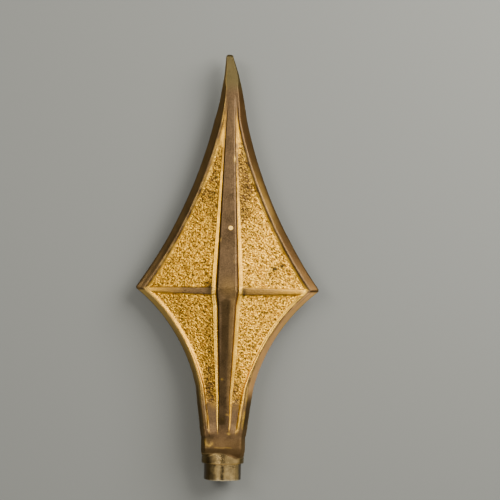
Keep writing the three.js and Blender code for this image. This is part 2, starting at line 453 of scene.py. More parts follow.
@dataclass
class SpearCasting:
    """The blade, base and collar, cast as one, in millimetres about the casting's own centre.

    x runs across the blade, y from the widest level to the point and z from mid-thickness. A pair of levels named
    for a change gives where it starts and where it is complete.
    """

    MASKS = (
        "recess", "pit", "stipple", "wear_and_glint", "dark", "shade", "red", "pale",
        "olive", "green", "rubbed_and_sheen", "tarnish", "stain_and_shade", "dot_near", "polish",
    )
    DOT_FAR = 4.0

    outline: Outline = Outline()
    right_side: Side = Side(3.45, 2.8, 0.6, 1.0, 2.2, 2.7, 0.5, step_drop=0.7, rib_trim=0.75)
    left_side: Side = Side(3.5, 2.4, 0.6, 0.9, 1.8, 2.1, 0.5, step_drop=0.82, rib_trim=0.6)
    border_share: float = 0.62
    rim_share: float = 0.15
    foot_rim_share: float = 0.5
    cove_share: float = 0.3
    slope_room: float = 0.45

    half_thickness: float = 10.8
    point_half_thickness: float = 2.4
    edge_half_thickness: float = 1.0
    base_edge_half_thickness: float = 7.0
    edge_growth: float = 1.5
    edge_share: float = 0.75

    rib_half: float = 4.8
    rib_taper: float = 0.036
    rib_point_half: float = 1.2
    point_flat_share: float = 0.6
    point_flat: Pair = (91.0, 100.0)
    rib_crown: float = 0.12
    rib_slope: float = 1.0
    trim_top: Pair = (0.0, -8.0)
    trim_foot: Pair = (-64.0, -48.0)
    narrowest_slope: float = 0.3

    panel_crest: float = 8.97
    panel_side_fall: float = 0.17
    panel_point_fall: float = 0.058
    panel_base_rise: float = 2.3
    panel_point_end: float = 93.0
    panel_base_end: float = -67.5
    panel_point_fade: float = 12.0
    panel_base_fade: float = 6.0
    rim_proud: float = 0.75
    bevel_fullness: float = 0.12
    cove_hollow: float = 1.8
    slope_hollow: float = 1.35
    ridge_proud: float = 0.3
    ridge_half_at_rib: float = 1.4
    ridge_half_at_border: float = 0.9
    ridge_foot: float = 0.45

    base_flat: float = 8.6
    base_level: float = -73.2
    shoulder_length: float = 5.5
    shoulder_height: float = 9.0
    shoulder_half: float = 9.3
    collar_radius: float = 10.1
    collar_top: float = -72.0
    collar_end: float = -81.0
    collar_chamfer: float = 0.6
    chamfer_depth: float = 0.9
    collar_blend: float = 0.45
    socket_radius: float = 9.1
    socket_mouth: float = 8.86
    socket_floor: float = -68.0

    stipple_pitch: float = 0.9
    stipple_depth: float = 0.46
    rear_stipple_share: float = 0.6
    pit_share: float = 0.62
    worm_pitch: float = 0.75
    warp: float = 0.35
    warp_pitch: float = 1.7
    stipple_top: Pair = (71.0, 64.0)
    stipple_foot: Pair = (-55.0, -48.0)
    stipple_margin: float = 0.5
    waviness: float = 0.07
    wave_pitch: float = 6.0
    edge_wave_pitch: float = 5.0

    bow_levels: tuple[float, ...] = (
        -90.0, -81.0, -75.0, -47.0, -33.0, 0.0, 60.0, 80.0, 87.6, 94.7, 101.7, 106.4, 111.2
    )
    bow_offsets: tuple[float, ...] = (-0.8, -0.65, -0.55, -0.4, -0.2, 0.0, 0.0, 0.1, 0.32, 0.36, 0.1, -0.47, -1.2)
    bow_samples: int = 401
    bow_smoothing: int = 6

    front_steps: tuple[int, ...] = (6, 2, 3, 0, 6, 2, 4)
    rear_steps: tuple[int, ...] = (3, 1, 2, 0, 2, 1, 2)
    wall_steps: int = 3
    front_cell: float = 0.34
    rear_cell: float = 0.72
    row_pitch: float = 0.34
    lower_rows_end: float = -2.2
    ridge_rows: tuple[float, float, float] = (-2.0, 2.1, 0.25)
    upper_rows_start: float = 2.4
    slant_levels: tuple[float, float, int] = (-70.0, 112.0, 1821)
    point_rows: int = 34
    point_rows_end: float = -1.5
    tip_rows: tuple[Pair, ...] = ((-1.0, 0.96), (-0.55, 0.87), (-0.22, 0.7), (-0.05, 0.42))
    base_row_pitch: float = 0.55
    collar_row_pitch: float = 0.3
    chamfer_rows: tuple[float, ...] = (1.0, 0.75, 0.5, 0.28, 0.12, 0.03, 0.0)

    thumb: Patch = Patch(-6.6, -69.6, 1.9, 2.4, 0.3)
    dot_x: float = 1.1
    dot_y: float = 29.6
    stripe: Stripe = Stripe()
    tarnish: tuple[Patch, ...] = patches(
        (-4.5, 84, 3, 12, 0.9), (-7, 66, 4, 12, 0.8), (-13.5, 48, 3, 8, 0.9), (-7.4, 44, 3, 14, 0.7),
        (-17, 26, 2.5, 2, 0.3), (-12, 42, 8, 12, 0.25), (11, 40, 6, 12, 0.35), (-15, -12, 9, 7, 0.15),
        (5, 82, 4, 14, 0.9), (6.4, 60, 3.2, 9, 1.3), (9, 50, 4.6, 9, 1), (6.6, 42, 2.6, 13, 0.9),
        (-24, -9, 9, 5, 0.3), (-9, -24, 3.6, 14, 0.4), (-7.6, -40, 2, 10, 0.7), (-6.6, -51, 2.4, 10, 1.3),
        (5.4, -51, 2.2, 10, 1.3), (6.4, -38, 1.2, 6, 0.4),
    )
    smudges: tuple[Patch, ...] = patches(
        (-8.2, 1.5, 1.6, 3.4, 1), (7.8, -0.5, 1.3, 3, 0.9), (22.1, 10.8, 1.5, 1, 1.3),
        (25.4, 12.2, 1.2, 0.9, 1.2), (-7.4, -22, 0.9, 14, 0.45),
    )
    nicks: tuple[Patch, ...] = patches(
        (-1.2, -41, 0.42, 0.42, 1), (2.6, -66.4, 0.6, 0.45, 0.7), (1.6, -57.5, 0.5, 0.35, 0.5),
        (-0.4, -59.6, 0.3, 0.5, 0.5), (2.4, 62, 0.35, 1.3, 0.8), (3.6, 14, 0.3, 0.6, 0.5),
        (-3.8, 24, 0.3, 0.8, 0.5),
    )

    age_and_light: AgeAndLight = AgeAndLight()
    lump: Grain = field(default_factory=lambda: Grain(7))
    punch: Grain = field(default_factory=lambda: Grain(19))

    def base_share(self, y: Array) -> Array:
        """Return the share of the way from the widest level down to the end of the lower panels."""
        return np.clip(y / self.panel_base_end, 0.0, 1.0)

    def rib_top(self, y: Array) -> Array:
        """Return the height of the midrib's flat top."""
        falling = between(self.half_thickness, self.point_half_thickness, y / self.outline.point_level)
        return np.where(y < 0, self.half_thickness, falling)

    def rib_edge(self, y: Array) -> Array:
        """Return half the width of the midrib's top, which spreads over the whole point."""
        rib = np.maximum(self.rib_half - self.rib_taper * np.abs(y), self.rib_point_half)
        return np.maximum(rib, self.point_flat_share * self.outline.half_width(y) * fade(y, *self.point_flat))

    def panel_height(self, x: Array, y: Array) -> Array:
        """Return the height of the sunk panels.

        Args:
            x: distances from the axis.
            y: levels.

        Returns:
            Heights from mid-thickness.
        """
        crest = self.panel_crest - self.panel_side_fall * x
        above = crest - self.panel_point_fall * y
        return np.where(y > 0, above, crest + self.panel_base_rise * self.base_share(y) ** 3)

    def rim_height(self, x: Array, y: Array) -> Array:
        """Return the height of the border's flat rim.

        Args:
            x: distances from the axis.
            y: levels.

        Returns:
            Heights from mid-thickness.
        """
        floor = self.panel_height(x, y)
        proud = between(self.rim_proud, self.half_thickness - floor, self.base_share(y) ** 3)
        return np.minimum(floor + proud, self.rib_top(y))

    def panel_opening(self, y: Array) -> Array:
        """Return how open the sunk panels are.

        Args:
            y: levels.

        Returns:
            Shares from 0, where a panel is shut, to 1.
        """
        point = eased((self.panel_point_end - y) / self.panel_point_fade)
        base = eased((y - self.panel_base_end) / self.panel_base_fade)
        return np.minimum(point, base)

    def quarter(self, y: Array, side: Side) -> tuple[Array, Array]:
        """Return the corners of a quarter of the section at each level.

        Args:
            y: levels.
            side: sizes of the left or the right half.

        Returns:
            Distances from the axis and heights, each with one column for each corner.
        """
        lower_bevel, rim_width, cove_width = side.widths(y)

        def inset(width: Array) -> Array:
            """Return the half-width inside the bevel and a further width."""
            return self.outline.half_width(y, side.upper_bevel + width, lower_bevel + width)

        edge = np.minimum(self.outline.half_width(y), self.outline.blunted)
        rib = self.rib_edge(y) - side.rib_trim * fade(y, *self.trim_top) * fade(y, *self.trim_foot)
        bevel_in = np.maximum(inset(0.0), between(edge, rib, self.border_share))
        rim_share = between(self.rim_share, self.foot_rim_share, side.foot_share(y))
        rim_in = np.maximum(inset(rim_width), between(bevel_in, rib, rim_share))
        cove_foot = np.maximum(inset(rim_width + cove_width), between(rim_in, rib, self.cove_share))
        top = self.rib_top(y)
        rim = self.rim_height(bevel_in, y)
        room = rim_in - rib
        slope = np.maximum(self.rib_slope * (top - self.panel_height(rib, y)), self.narrowest_slope)
        foot_run = np.minimum(slope, self.slope_room * room)
        opening = self.panel_opening(y)
        foot = rib + foot_run
        step = rib + foot_run * side.step_run
        step_height = between(top, self.panel_height(foot, y), side.step_drop)

        def sunk(x: Array, height: Array) -> Array:
            """Return a height that opens from the shut surface to the sunk one."""
            return between(between(top, rim, (x - rib) / room), height, opening)

        growth = self.base_share(y) ** self.edge_growth
        edge_height = between(self.edge_half_thickness, self.base_edge_half_thickness, growth)
        corners = (
            (edge, np.minimum(edge_height, rim * self.edge_share)),
            (bevel_in, rim),
            (rim_in, rim),
            (cove_foot, sunk(cove_foot, self.panel_height(cove_foot, y))),
            (foot, sunk(foot, self.panel_height(foot, y))),
            (step, sunk(step, step_height)),
            (rib, top),
            (np.zeros_like(y), np.minimum(top + self.rib_crown * opening, self.half_thickness)),
        )
        xs, zs = zip(*corners)
        return np.stack(xs, axis=1), np.stack(zs, axis=1)

    def corners(self, y: Array) -> tuple[Array, Array]:
        """Return the corners of the whole section: from the right edge over the front, and back along the rear.

        Args:
            y: levels.

        Returns:
            Distances from the axis and heights, each with one column for each corner.
        """

        def around(right: Array, left: Array, rear: int) -> Array:
            """Return one coordinate all round, from the two halves of the front and the rear's sign."""
            front = np.concatenate([right, left[:, -2::-1]], axis=1)
            return np.concatenate([front, rear * front[:, ::-1], front[:, :1]], axis=1)

        (rx, rz), (lx, lz) = (self.quarter(y, side) for side in (self.right_side, self.left_side))
        return around(rx, -lx, 1), around(rz, lz, -1)

    def levels(self) -> Array:
        """Return the levels of the blade's rows.

        Returns:
            The levels, from the end of the lower panels to the point.
        """
        lower = np.arange(self.panel_base_end, self.lower_rows_end, self.row_pitch)
        ridge = np.arange(*self.ridge_rows)
        panels = np.arange(self.upper_rows_start, self.panel_point_end, self.row_pitch)
        end = self.outline.point_level + self.point_rows_end
        return np.concatenate([lower, ridge, panels, np.linspace(self.panel_point_end, end, self.point_rows)])

    def places(self, xs: Array) -> list[Array]:
        """Return the places of the points round each row.

        Args:
            xs: corners' distances from the axis, from corners().

        Returns:
            For each row, places that count the corners passed, with the share of the stretch.
        """

        def stretch(k: int, width: float) -> Array:
            """Return the places along one stretch of the section."""
            return k + np.arange(self.steps(k, width)) / self.steps(k, width)

        return [np.concatenate([stretch(k, row[k]) for k in range(AROUND)]) for row in np.abs(np.diff(xs, axis=1))]

    def steps(self, k: int, width: float) -> int:
        """Return how many cells a stretch of the section has.

        Args:
            k: number of the stretch round the section.
            width: its width in millimetres.

        Returns:
            The number of cells.
        """
        if k in (WALL, AROUND - 1):
            return self.wall_steps
        front = k < WALL
        inner = k if front else AROUND - 2 - k
        strip = inner if inner < STRIPS else WALL - 1 - inner
        if strip == Strip.PANEL:
            return max(2, math.ceil(width / (self.front_cell if front else self.rear_cell)))
        return (self.front_steps if front else self.rear_steps)[strip]

    def bow(self, y: Array) -> Array:
        """Return how far the slightly bent casting stands to the right at each level.

        Args:
            y: levels.

        Returns:
            Distances in millimetres.
        """
        fine = np.linspace(self.bow_levels[0], self.bow_levels[-1], self.bow_samples)
        rough = np.interp(fine, self.bow_levels, self.bow_offsets)
        kernel = np.hanning(2 * self.bow_smoothing + 1)
        padded = np.pad(rough, self.bow_smoothing, mode="edge")
        return np.interp(y, fine, np.convolve(padded, kernel / kernel.sum(), mode="valid"))

    def blade(self) -> tuple[Surface, list[Array]]:
        """Build the blade's rows.

        Returns:
            The dressed points, lowest row first, and the places of each row's points.
        """
        y_rows = self.levels()
        xs, zs = self.corners(y_rows)
        rows = self.places(xs)
        row = np.repeat(np.arange(len(rows)), [len(r) for r in rows])
        place = np.concatenate(rows)
        k = np.floor(place).astype(int)
        share = place - k
        z0, z1 = zs[row, k], zs[row, k + 1]
        front = k < WALL
        wall = (k == WALL) | (k == AROUND - 1)
        inner = np.where(front, k, AROUND - 2 - k)
        strip = np.where(wall, Strip.EDGE, np.where(inner < STRIPS, inner, WALL - 1 - inner))
        inward = np.where(front == (inner < STRIPS), share, 1.0 - share)
        outer_z = np.where(inward == share, z0, z1)
        inner_z = np.where(inward == share, z1, z0)
        curve = inward.copy()
        bevel, cove, slope = (strip == kind for kind in (Strip.BEVEL, Strip.COVE, Strip.RIB_SLOPE))
        curve[bevel] = between(inward[bevel], np.sin(inward[bevel] * math.pi / 2), self.bevel_fullness)
        curve[cove] = 1.0 - (1.0 - inward[cove]) ** self.cove_hollow
        curve[slope] = inward[slope] ** self.slope_hollow
        x = between(xs[row, k], xs[row, k + 1], share)
        z = between(outer_z, inner_z, curve)
        z[wall] = between(z0, z1, share)[wall]
        return self.dressed(BladePoints(x, y_rows[row], z, strip, inward, front, xs[row])), rows

    def dressed(self, points: BladePoints) -> Surface:
        """Punch the plain blade, and paint its wear, stains, highlights and shade.

        Args:
            points: its points, whose x gets the waves of the edge.

        Returns:
            The surface with its masks, bowed.
        """
        y, front, inward, right = points.y, points.front, points.inward, points.right
        onsets, away, level = self.age_and_light, np.abs(points.x), np.abs(points.y)
        outward = np.where(points.z >= 0, 1.0, -1.0)
        cove_foot, rib_foot = points.corner(Strip.PANEL), points.corner(Strip.RIB_SLOPE)
        across = (away - rib_foot) / np.maximum(cove_foot - rib_foot, 0.1)
        ridge_half = between(self.ridge_half_at_rib, self.ridge_half_at_border, np.clip(across, 0.0, 1.0))
        sunk = points.on(Strip.COVE, Strip.PANEL, Strip.RIB_SLOPE)
        ridge_reach = sunk * np.where(points.strip == Strip.COVE, inward, 1.0)
        ridge_reach *= np.where(points.strip == Strip.RIB_SLOPE, 1.0 - inward, 1.0)
        ridge = fade(level, ridge_half + self.ridge_foot, ridge_half) * ridge_reach
        z = points.z + outward * self.ridge_proud * ridge

        stippled = points.on(Strip.PANEL) * fade(y, *self.stipple_top) * fade(y, *self.stipple_foot)
        stippled *= fade(cove_foot - away, 0.0, self.stipple_margin) * fade(away - rib_foot, 0.0, self.stipple_margin)
        stippled *= fade(level - ridge_half, 0.4, 0.9)
        relief = self.relief(points.x, y, front)
        z = z - outward * self.stipple_depth * np.where(front, 1.0, self.rear_stipple_share) * relief * stippled
        wave = self.lump.smooth(points.x, y + np.where(front, 0.0, 90.0), self.wave_pitch)
        z = z + outward * self.waviness * wave * (points.strip != Strip.EDGE)
        edge_wave = self.lump.smooth(y, z + 20.0, self.edge_wave_pitch)
        points.x = points.x + self.waviness * edge_wave * (points.strip <= Strip.RIM)

        masks = self.blade_masks(points)
        masks["pit"] = fade(relief, 0.3, 0.75) * stippled
        masks["stipple"] = stippled
        cover = fade(level - ridge_half - 0.2 * self.lump.smooth(points.x, y, 0.9), 0.75, -0.05)
        cover *= ridge_reach * np.interp(across, (0.0, 0.45, 1.0), (1.0, 0.95, 0.5)) * np.where(right, 0.85, 1.0)
        golden = sunk * self.panel_opening(y) * self.gilt(points) * (1.0 - cover)
        gilt_rim = 0.4 * points.on(Strip.RIM) * ~right * fade(y, *onsets.rim_gilt_foot) * fade(y, *onsets.rim_gilt_top)
        masks["recess"] = np.maximum(golden, gilt_rim)
        return Surface(points.x + self.bow(y), y, z, masks)

    def relief(self, x: Array, y: Array, front: Array) -> Array:
        """Return how deep the stippling goes at each point.

        Args:
            x: distances across the blade.
            y: levels.
            front: whether the point is on the front.

        Returns:
            Shares of the full depth.
        """
        u = x + self.warp * self.lump.smooth(x, y, self.warp_pitch)
        v = y + self.warp * self.lump.smooth(x + 40.0, y, self.warp_pitch) + np.where(front, 0.0, 300.0)
        pits = self.punch.punched(u, v, self.stipple_pitch)
        worms = eased(0.5 - 0.9 * self.punch.smooth(u, v, self.worm_pitch))
        return self.pit_share * pits + (1.0 - self.pit_share) * worms

    def gilt(self, points: BladePoints) -> Array:
        """Return how golden the sunk parts are: duller towards the point and on the slopes beside the midrib.

        Args:
            points: the blade's points.

        Returns:
            Shares, 1 where the gold is full.
        """
        onsets, x, y, right = self.age_and_light, points.x, points.y, points.right
        gilt = np.maximum(points.on(Strip.COVE, Strip.RIB_SLOPE), fade(y, *onsets.gilt_foot)) * fade(y, *onsets.gilt_point)
        upper_cove = (points.strip == Strip.COVE) & (y > 0)
        gilt *= np.where(upper_cove, points.inward ** np.where(right, 0.8, 1.5), 1.0)
        dulled = points.on(Strip.RIB_SLOPE) * (0.55 * fade(y, *onsets.dull_slope) + 0.25 * right * (y > 0))
        return gilt * (1.0 - dulled * (0.7 + 0.5 * eased(0.5 + self.lump.smooth(x + 9.0, y, 2.2))))

    def worn_and_lit(self, points: BladePoints) -> Array:
        """Return where the blade is bright: painted highlights, which also stand for wear, on the slopes, coves and
        corners of the section, a painted glint by the widest corners, and worn nicks.

        Args:
            points: the blade's points.

        Returns:
            The mask.
        """
        onsets, x, y, right = self.age_and_light, points.x, points.y, points.right
        lower, below = points.halves
        ahead = points.front.astype(float)
        levels = np.linspace(*self.slant_levels)
        slant = np.gradient(self.outline.half_width(levels), levels)
        square = 1.0 / np.hypot(1.0, np.interp(y, levels, slant))

        def line(corner: int, reach: float) -> Array:
            """Return 1 on a corner of the section, fading over a reach to both sides."""
            return hump(square * (np.abs(x) - points.corner(corner)), 0.0, reach)

        broken = eased(0.55 + 0.9 * self.lump.smooth(x + 60.0, y, 2.6))
        opening = self.panel_opening(y)
        # Painted highlights, partly edge wear: the midrib's slopes, the lower right cove, the rim and cove lines and
        # the band along the lower right bevel.
        slope = np.where(right, (0.1 + 0.4 * lower) * fade(y, *onsets.slope_foot), 0.3 + 0.8 * lower)
        slope *= points.on(Strip.RIB_SLOPE) * (0.7 + 0.5 * broken) * opening
        wear_and_glint = slope * fade(y, *onsets.slope_upper) * fade(y, *onsets.slope_point)
        wear_and_glint += 0.8 * right * points.on(Strip.COVE) * lower * (0.6 + 0.6 * broken) * opening
        wear_and_glint += line(Strip.RIM, 0.28) * np.where(right, 0.4 * lower, 0.1) * broken
        wear_and_glint += line(Strip.PANEL, 0.7) * 0.6 * (1.0 - lower) * broken * fade(y, *onsets.cove_upper)
        wear_and_glint += line(Strip.COVE, 0.28) * 0.25 * broken * opening * np.maximum(lower, ~right)
        wear_and_glint += 0.4 * points.band(0.0, 0.12) * fade(y, *onsets.bevel_light) * ahead
        # Painted glint on the lower right bevel near the widest corner.
        wear_and_glint += line(Strip.BEVEL, 0.4) * (0.08 * broken + 1.6 * right * fade(y, *onsets.corner_glint) * below * ahead)
        wear_and_glint += sum(nick.share(x, y) for nick in self.nicks) * ahead
        return np.clip(wear_and_glint, 0.0, 1.0) * np.where(points.front, 1.0, 0.7)

    def painted_shade(self, points: BladePoints) -> Array:
        """Return where shade is painted on the blade: beside the midrib, along the border and on the foot's left
        bevel.

        Args:
            points: the blade's points.

        Returns:
            The mask.
        """
        onsets, y, inward, right = self.age_and_light, points.y, points.inward, points.right
        lower, opening = points.halves[0], self.panel_opening(y)
        bevel, rim, cove = (points.on(strip) for strip in (Strip.BEVEL, Strip.RIM, Strip.COVE))
        # Painted shade: the midrib's left step, the upper coves, the lower right rim and bevel, the lower left cove
        # and rim, and the foot's left bevel, where the light falls away.
        layers = (
            0.85 * points.on(Strip.RIB_STEP) * ~right * opening,
            cove * (1.0 - inward) * (1.0 - lower) * np.where(right, 0.08, 0.35) * opening,
            0.3 * rim * hump(inward, 0.5, 0.4) * right * lower * fade(y, *onsets.rim_groove),
            0.45 * points.band(0.24, 0.08) * fade(y, *onsets.bevel_groove) * points.front,
            (0.4 * cove + 0.2 * rim) * ~right * lower,
            0.6 * bevel * ~right * fade(y, *onsets.bevel_foot) * fade(inward, 0.75, 0.45),
        )
        return np.clip(np.maximum.reduce(layers), 0.0, 1.0)

    def blade_masks(self, points: BladePoints) -> dict[str, Array]:
        """Return where the blade is worn, tinted, tarnished or stained, and where highlights, sheen, shade and a dark
        reflection are painted on it.

        Args:
            points: the blade's points.

        Returns:
            The masks by name.
        """
        x, y, inward, right, front = points.x, points.y, points.inward, points.right, points.front
        onsets, ahead, below = self.age_and_light, front.astype(float), points.halves[1]
        bevel, top = points.on(Strip.BEVEL), points.on(Strip.RIB_TOP, Strip.RIB_STEP)
        # The pale tint paints light on the lower right bevel, with a faint paler tone at the blade's foot.
        pale = np.maximum(bevel * right * below * fade(y, *onsets.pale_bevel), 0.07 * fade(y, *onsets.pale_base))
        # The olive tint also paints light on the lower left bevel, brightest near the widest level.
        olive = np.interp(y, (-50.0, -41.0, -23.0, -9.0), (0.05, 0.35, 0.65, 1.0))
        olive = np.clip(olive + 0.35 * fade(inward, 0.5, 0.8) * fade(y, *onsets.olive_bevel), 0.0, 1.0)
        # Painted sheen on the midrib's top, kept with the rubbed upper right bevel.
        shine = 0.2 * fade(x, 0.6, 2.0) * fade(y, *onsets.shine_top) * fade(y, *onsets.shine_foot)
        shine = top * np.maximum(shine, Patch(1.0, 1.5, 4.5, 4.5, 0.22).share(x, y))
        blotch = eased(0.5 + 1.3 * self.lump.smooth(x + 17.0, y, 1.9))
        tarnish = sum(patch.share(x, y) for patch in self.tarnish) * (0.55 + 0.45 * blotch)
        # Painted dark reflection down the lower midrib, kept with the smudges.
        stripe = self.stripe.share(x, y) * points.on(Strip.RIB_TOP)
        stain_and_shade = np.maximum(stripe, sum(patch.share(x, y) for patch in self.smudges))
        dot = np.hypot(x - self.dot_x, y - self.dot_y)
        return {
            "wear_and_glint": self.worn_and_lit(points),
            "dark": self.painted_shade(points),
            # Painted light and shade: the upper left bevel's tone is set for the light that falls on it.
            "shade": bevel * ~right * (1.0 - below) * fade(inward, 1.1, 0.6),
            "red": bevel * right * (1.0 - below) * ahead,
            "pale": pale * ahead,
            "olive": bevel * ~right * below * olive,
            "green": fade(y, *onsets.green_point),
            "rubbed_and_sheen": (0.6 * bevel * right * eased(inward * 1.6) * hump(y, 44.0, 11.0) + shine) * ahead,
            "tarnish": np.clip(tarnish, 0.0, 1.0) * ahead,
            "stain_and_shade": np.clip(stain_and_shade, 0.0, 1.0) * ahead,
            "dot_near": np.where(front, np.clip(dot, 0.0, self.DOT_FAR), self.DOT_FAR),
            "polish": np.zeros_like(x),
        }

    def section_radius(self, angle: Array, y: float) -> Array:
        """Return how far the base or collar stands from the axis.

        Args:
            angle: directions round the axis.
            y: the level.

        Returns:
            Distances in millimetres.
        """
        share = min(max((self.base_level - y) / self.shoulder_length, 0.0), 0.999)
        height = self.half_thickness - self.shoulder_height * (1.0 - math.sqrt(1.0 - share**2))
        edge = between(self.outline.waist_half, self.shoulder_half, share**2)
        flat = edge * self.base_flat / self.outline.waist_half
        corner = min(self.base_edge_half_thickness, height * self.edge_share)
        c, s = np.maximum(np.abs(np.cos(angle)), 1e-6), np.maximum(np.abs(np.sin(angle)), 1e-6)
        nx, nz = height - corner, edge - flat
        slanted = (nx * edge + nz * corner) / (nx * c + nz * s)
        blade = np.minimum(np.minimum(edge / c, height / s), slanted)
        if y < self.base_level - self.shoulder_length:
            blade = np.zeros_like(angle)
        lip = min(max((self.collar_end + self.collar_chamfer - y) / self.collar_chamfer, 0.0), 1.0)
        collar = self.collar_radius if y < self.collar_top else 0.0
        collar -= self.collar_chamfer * (1.0 - math.sqrt(1.0 - lip**2)) * self.chamfer_depth
        gap = np.clip(0.5 + 0.5 * (blade - collar) / self.collar_blend, 0.0, 1.0)
        return between(collar, blade, gap) + self.collar_blend * gap * (1.0 - gap)

    def foot(self, places: Array, x: Array, z: Array) -> tuple[Surface, list[Array]]:
        """Return the rows from the base down over the collar, into the socket and to its floor.

        Args:
            places: places of the blade's lowest row.
            x: that row's distances from the axis.
            z: that row's heights.

        Returns:
            The points, highest row first, and each row's places.
        """
        angle = np.arctan2(z, x)
        collar_foot = self.collar_end + self.collar_chamfer
        levels = np.concatenate([
            np.arange(self.panel_base_end - 0.6, self.collar_top, -self.base_row_pitch),
            np.arange(self.collar_top - 0.05, collar_foot, -self.collar_row_pitch),
            self.collar_end + self.collar_chamfer * np.array(self.chamfer_rows),
        ])
        rings = []
        for y in levels:
            radius = self.section_radius(angle, y)
            radius = radius - self.thumb.share(radius * np.cos(angle), y) * (np.sin(angle) > 0.1)
            rings.append((radius, y, angle, places))
        inside = (
            (self.socket_mouth + 0.25, self.collar_end + 0.02),
            (self.socket_mouth, self.collar_end + 0.2),
            (self.socket_mouth, self.collar_end + 0.9),
            (self.socket_radius, self.collar_end + 1.1),
            (self.socket_radius, self.socket_floor - 3.0),
            (self.socket_radius, self.socket_floor),
            (self.socket_radius * 0.5, self.socket_floor),
        )
        rings += [(radius, y, angle[::2], places[::2]) for radius, y in inside]
        x = np.concatenate([radius * np.cos(turn) for radius, _, turn, _ in rings])
        z = np.concatenate([radius * np.sin(turn) for radius, _, turn, _ in rings])
        y = np.concatenate([np.full_like(turn, level) for _, level, turn, _ in rings])
        return Surface(x + self.bow(y), y, z, self.foot_masks(x, y, z)), [ring[-1] for ring in rings]

    def foot_masks(self, x: Array, y: Array, z: Array) -> dict[str, Array]:
        """Return where the base, the collar and the socket are worn, polished or tinted, and where highlights, a
        glint and shade are painted on them.

        Args:
            x: distances across the foot.
            y: levels.
            z: heights from mid-thickness.

        Returns:
            The masks by name.
        """
        ahead = fade(z, 0.0, 4.0)
        outside = np.hypot(x, z) > self.socket_radius + 0.1
        rough = self.lump.smooth(x, y, 1.6)
        # Painted highlights along the base's edge and at the collar's end, with a painted glint on its right.
        lip = hump(y, self.base_level + 0.2 + 0.25 * rough, 0.35) * fade(np.abs(x), 4.6, 3.6)
        end = hump(y, self.collar_end + 0.1, 0.35) * outside
        glint = hump(x, 6.6, 1.8) * ahead
        thumb = np.hypot((x - self.thumb.x) / self.thumb.half_width, (y - self.thumb.y) / self.thumb.half_height)
        crescent = hump(thumb, 1.0, 0.22) * eased(0.3 - 0.6 * (y - self.thumb.y) - 0.3 * (x - self.thumb.x))
        wear_and_glint = 0.22 * lip * ahead + (0.25 + 0.75 * glint) * end + 0.4 * crescent * ahead
        meeting = -75.5 - 0.42 * np.clip(x, 0.0, 6.0) + 0.3 * rough
        polish = fade(meeting - y, 0.0, 0.7) * outside
        # Painted shade on the step below the base.
        band = fade(y, self.base_level - 0.1, self.base_level - 0.6) * eased((y - meeting) / 0.6 + 0.5)
        # Painted shade: the collar's sides where they reflect the floor, the base's steep left side and the inside of
        # the socket.
        sides = np.maximum(fade(x, -4.4, -7.0), fade(x, 7.0, 8.6))
        steep = fade(x, -8.4, -9.4) * (1.0 - polish)
        return {name: np.zeros_like(x) for name in self.MASKS} | {
            "wear_and_glint": np.clip(wear_and_glint, 0.0, 1.0),
            "polish": polish,
            "stain_and_shade": 0.35 * band * fade(x, 3.5, 0.5) * ahead,
            "green": 0.4 * fade(x, -4.0, -8.0) * (1.0 - polish),
            "rubbed_and_sheen": 0.1 * fade(y, self.panel_base_end, self.panel_base_end - 3.5) * (1.0 - polish) * ahead,
            "pale": 0.07 * (1.0 - polish) * ahead,
            "dark": np.maximum.reduce((0.88 * sides * polish, 0.6 * steep, ~outside * 1.0)),
            "dot_near": np.full_like(x, self.DOT_FAR),
        }

    def build(self, centre: Vector) -> bpy.types.Object:
        """Build the casting in the row frame.

        Args:
            centre: the casting's own centre in the row frame, in metres.

        Returns:
            The finished object.
        """
        blade, rows = self.blade()
        count, last = len(rows[0]), len(blade.x) - len(rows[-1])
        tip_x, tip_z = blade.x[last:], blade.z[last:]
        tip_masks = {name: values[last:] for name, values in blade.masks.items()}
        point = self.outline.point_level
        tip_bow = float(self.bow(np.array([point]))[0])
        parts = [blade]
        for level, draw in self.tip_rows:
            y = np.full_like(tip_x, point + level)
            parts.append(Surface(tip_bow + (tip_x - tip_bow) * draw, y, tip_z * draw, tip_masks))
            rows.append(rows[-1])
        blade_rows = len(rows)
        foot, foot_rows = self.foot(rows[0], blade.x[:count] - self.bow(blade.y[:count]), blade.z[:count])
        parts.append(foot)
        rows += foot_rows
        starts = np.concatenate([[0], np.cumsum([len(row) for row in rows])])
        order = [0, *range(blade_rows, len(rows))]
        pairs = [(row, row + 1) for row in range(blade_rows - 1)]
        pairs += [(low, high) for high, low in zip(order, order[1:])]
        faces: list[tuple[int, ...]] = []
        for first, second in pairs:
            faces += zip_rows(rows[first], rows[second], starts[first], starts[second])
        floor_bow = float(self.bow(np.array([self.socket_floor]))[0])
        caps = ((blade_rows - 1, tip_bow, point, 1), (len(rows) - 1, floor_bow, self.socket_floor, -1))
        for number, (row, x, y, turn) in enumerate(caps):
            n = len(rows[row])
            ring = [(starts[row] + k, starts[row] + (k + 1) % n) for k in range(n)]
            faces += [(a, b, starts[-1] + number)[::turn] for a, b in ring]
            masks = {name: np.full(1, self.DOT_FAR if name == "dot_near" else 0.0) for name in self.MASKS}
            parts.append(Surface(np.array([x]), np.array([y]), np.zeros(1), masks))
        surface = joined(parts)
        surface.z = np.clip(surface.z, -self.half_thickness, self.half_thickness)
        return mesh_object("casting_skin", surface, centre, faces)


